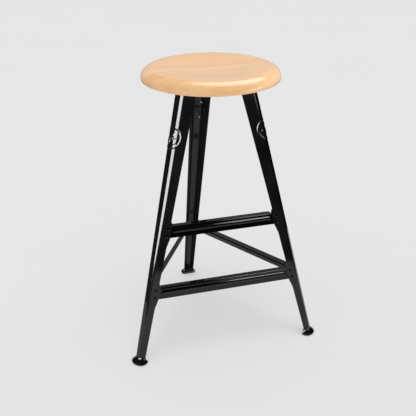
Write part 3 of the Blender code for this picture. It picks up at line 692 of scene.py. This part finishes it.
# ---------------------------------------------------------------- floor, light, camera
NEAR_R = 0.95               # the floor that shows in the glossy black steel
FLOOR_R = 30.0
FLOOR_Z = -0.0002           # just under the feet
WORLD = 0.80                # as bright as the floor, so no horizon shows in a low view
CAMERA_AZ = 16.0734         # degrees to the left of the stool's front
CAMERA_DIST = 1.68599
CAMERA_H = 1.16197
CAMERA_SENSOR = 36.0
CAMERA_LENS = 59.45
CAMERA_RIGHT = Vector((0.96161403, -0.27433718, -0.00612950))
CAMERA_UP = Vector((0.12313857, 0.41145128, 0.90307516))
CAMERA_AHEAD = Vector((0.24522510, 0.86916452, -0.42943881))


def floor_piece(name, inner, outer, material):
    """Flat disc, or a ring where inner isn't 0, round the seat axis."""
    steps = 96
    verts = []
    faces = []
    rings = [r for r in (inner, outer) if r > 0.0]
    for r in rings:
        for k in range(steps):
            a = 2.0 * math.pi * k / steps
            verts.append(Vector((r * math.cos(a), AXIS.y + r * math.sin(a), FLOOR_Z)))
    if len(rings) == 1:
        faces.append(tuple(range(steps)))
    else:
        for k in range(steps):
            n = (k + 1) % steps
            faces.append((k, steps + k, steps + n, n))
    obj = add_mesh(name, verts, faces, material)
    return obj


def build_stage():
    n = Nodes("pale_floor")
    cloud = n.noise(n.where, 1.4, 3.0)
    n.link(n.ramp(cloud, [(0.3, (0.382, 0.382, 0.383)), (0.7, (0.388, 0.388, 0.389))]),
           n.shader.inputs["Base Color"])
    n.set("Roughness", 0.9)
    n.set("Specular IOR Level", 0.1)
    n.set("Emission Color", (1.0, 1.0, 1.0, 1.0))
    n.set("Emission Strength", 0.42)
    floor_piece("floor_near", 0.0, NEAR_R, n.mat)
    far = floor_piece("floor_far", NEAR_R, FLOOR_R, n.mat)
    far.visible_glossy = False
    world = bpy.data.worlds.new("studio")
    world.use_nodes = True
    back = world.node_tree.nodes["Background"]
    back.inputs["Color"].default_value = (1.0, 1.0, 1.0, 1.0)
    back.inputs["Strength"].default_value = WORLD
    bpy.context.scene.world = world
    world.cycles_visibility.glossy = False


def softbox(name, azimuth, distance, height, width, tall, radiance, aim_z, group):
    """Area light of that brightness at that azimuth round the seat axis (0 is +X), aimed at
    height aim_z on the axis. It falls on the pieces of its group only."""
    a = math.radians(azimuth)
    light = bpy.data.lights.new(name, 'AREA')
    light.shape = 'RECTANGLE'
    light.size = width
    light.size_y = tall
    light.energy = radiance * width * tall * math.pi
    obj = bpy.data.objects.new(name, light)
    bpy.context.scene.collection.objects.link(obj)
    place = AXIS + Vector((distance * math.cos(a), distance * math.sin(a), height))
    aim = AXIS + Vector((0.0, 0.0, aim_z)) - place
    obj.location = place
    obj.rotation_euler = aim.to_track_quat('-Z', 'Y').to_euler()
    obj.light_linking.receiver_collection = group


def panel(name, azimuths, distance, low, high, radiance, group):
    """Upright softbox that covers those azimuths and heights, given by its brightness."""
    start, end = azimuths
    width = 2.0 * distance * math.tan(math.radians((end - start) / 2.0))
    tall = high - low
    middle = (low + high) / 2.0
    softbox(name, (start + end) / 2.0, distance, middle, width, tall, radiance, middle, group)


def overhead(name, strength, spread, tilt, turn, group):
    """Wide soft light from above, tilted from straight down and then turned, in degrees."""
    light = bpy.data.lights.new(name, 'SUN')
    light.energy = strength
    light.angle = math.radians(spread)
    obj = bpy.data.objects.new(name, light)
    bpy.context.scene.collection.objects.link(obj)
    obj.rotation_euler = (math.radians(tilt), 0.0, math.radians(turn))
    obj.light_linking.receiver_collection = group


def light_group(name, wanted):
    """The pieces that a light falls on, chosen by name."""
    group = bpy.data.collections.new(name)
    for obj in bpy.context.scene.objects:
        if obj.type == 'MESH' and wanted(obj.name):
            group.objects.link(obj)
    return group


def build_lights():
    steel = light_group("steel", lambda n: not n.startswith(("floor_", "seat_")))
    wood = light_group("wood", lambda n: n.startswith("seat_"))
    ground = light_group("ground", lambda n: n.startswith("floor_"))
    rung_names = ("rung_", "footrest")
    legs = light_group("legs", lambda n: not n.startswith(("floor_", "seat_") + rung_names))
    rails = light_group("rails", lambda n: n.startswith(rung_names) and "rivet" not in n)
    for k, start in enumerate((190.0, 217.0, 244.0)):
        panel("strip_left_%d" % k, (start, start + 27.0), 2.6, 0.0, 1.45, 21.0, legs)
    panel("bead_right", (288.0, 325.0), 2.4, 1.55, 2.5, 9.5, rails)
    panel("emblem_right", (288.0, 325.0), 2.4, 0.62, 1.7, 4.0, legs)
    panel("back_wall", (54.0, 125.0), 2.4, 0.9, 2.5, 0.38, steel)
    panel("seat_back", (30.0, 120.0), 2.4, 0.0, 2.0, 0.45, wood)
    panel("seat_far_left", (120.0, 190.0), 2.4, 0.0, 2.0, 0.15, wood)
    panel("seat_far_right", (-30.0, 30.0), 2.4, 0.0, 2.0, 0.55, wood)
    panel("seat_right", (306.0, 340.0), 2.4, 0.2, 0.98, 2.6, wood)
    panel("seat_left", (190.0, 245.0), 2.6, 0.2, 1.8, 0.45, wood)
    softbox("rim_line", 0.0, 0.78, 2.3, 0.8, 0.5, 14.0, 0.4, steel)
    overhead("ground_top", 0.60, 30.0, 10.0, 0.0, ground)
    overhead("seat_top", 1.50, 46.0, 30.0, 135.0, wood)


def build_camera():
    data = bpy.data.cameras.new("camera")
    data.sensor_width = CAMERA_SENSOR
    data.lens = CAMERA_LENS
    cam = bpy.data.objects.new("camera", data)
    bpy.context.scene.collection.objects.link(cam)
    right, up, ahead = CAMERA_RIGHT, CAMERA_UP, CAMERA_AHEAD
    a = math.radians(CAMERA_AZ)
    place = AXIS + Vector((-CAMERA_DIST * math.sin(a), -CAMERA_DIST * math.cos(a), CAMERA_H))
    cam.matrix_world = Matrix((
        (right.x, up.x, -ahead.x, place.x),
        (right.y, up.y, -ahead.y, place.y),
        (right.z, up.z, -ahead.z, place.z),
        (0.0, 0.0, 0.0, 1.0),
    ))
    bpy.context.scene.camera = cam


build_stage()
build_lights()
build_camera()
view = bpy.context.scene.view_settings
view.view_transform = 'Standard'
view.look = 'None'
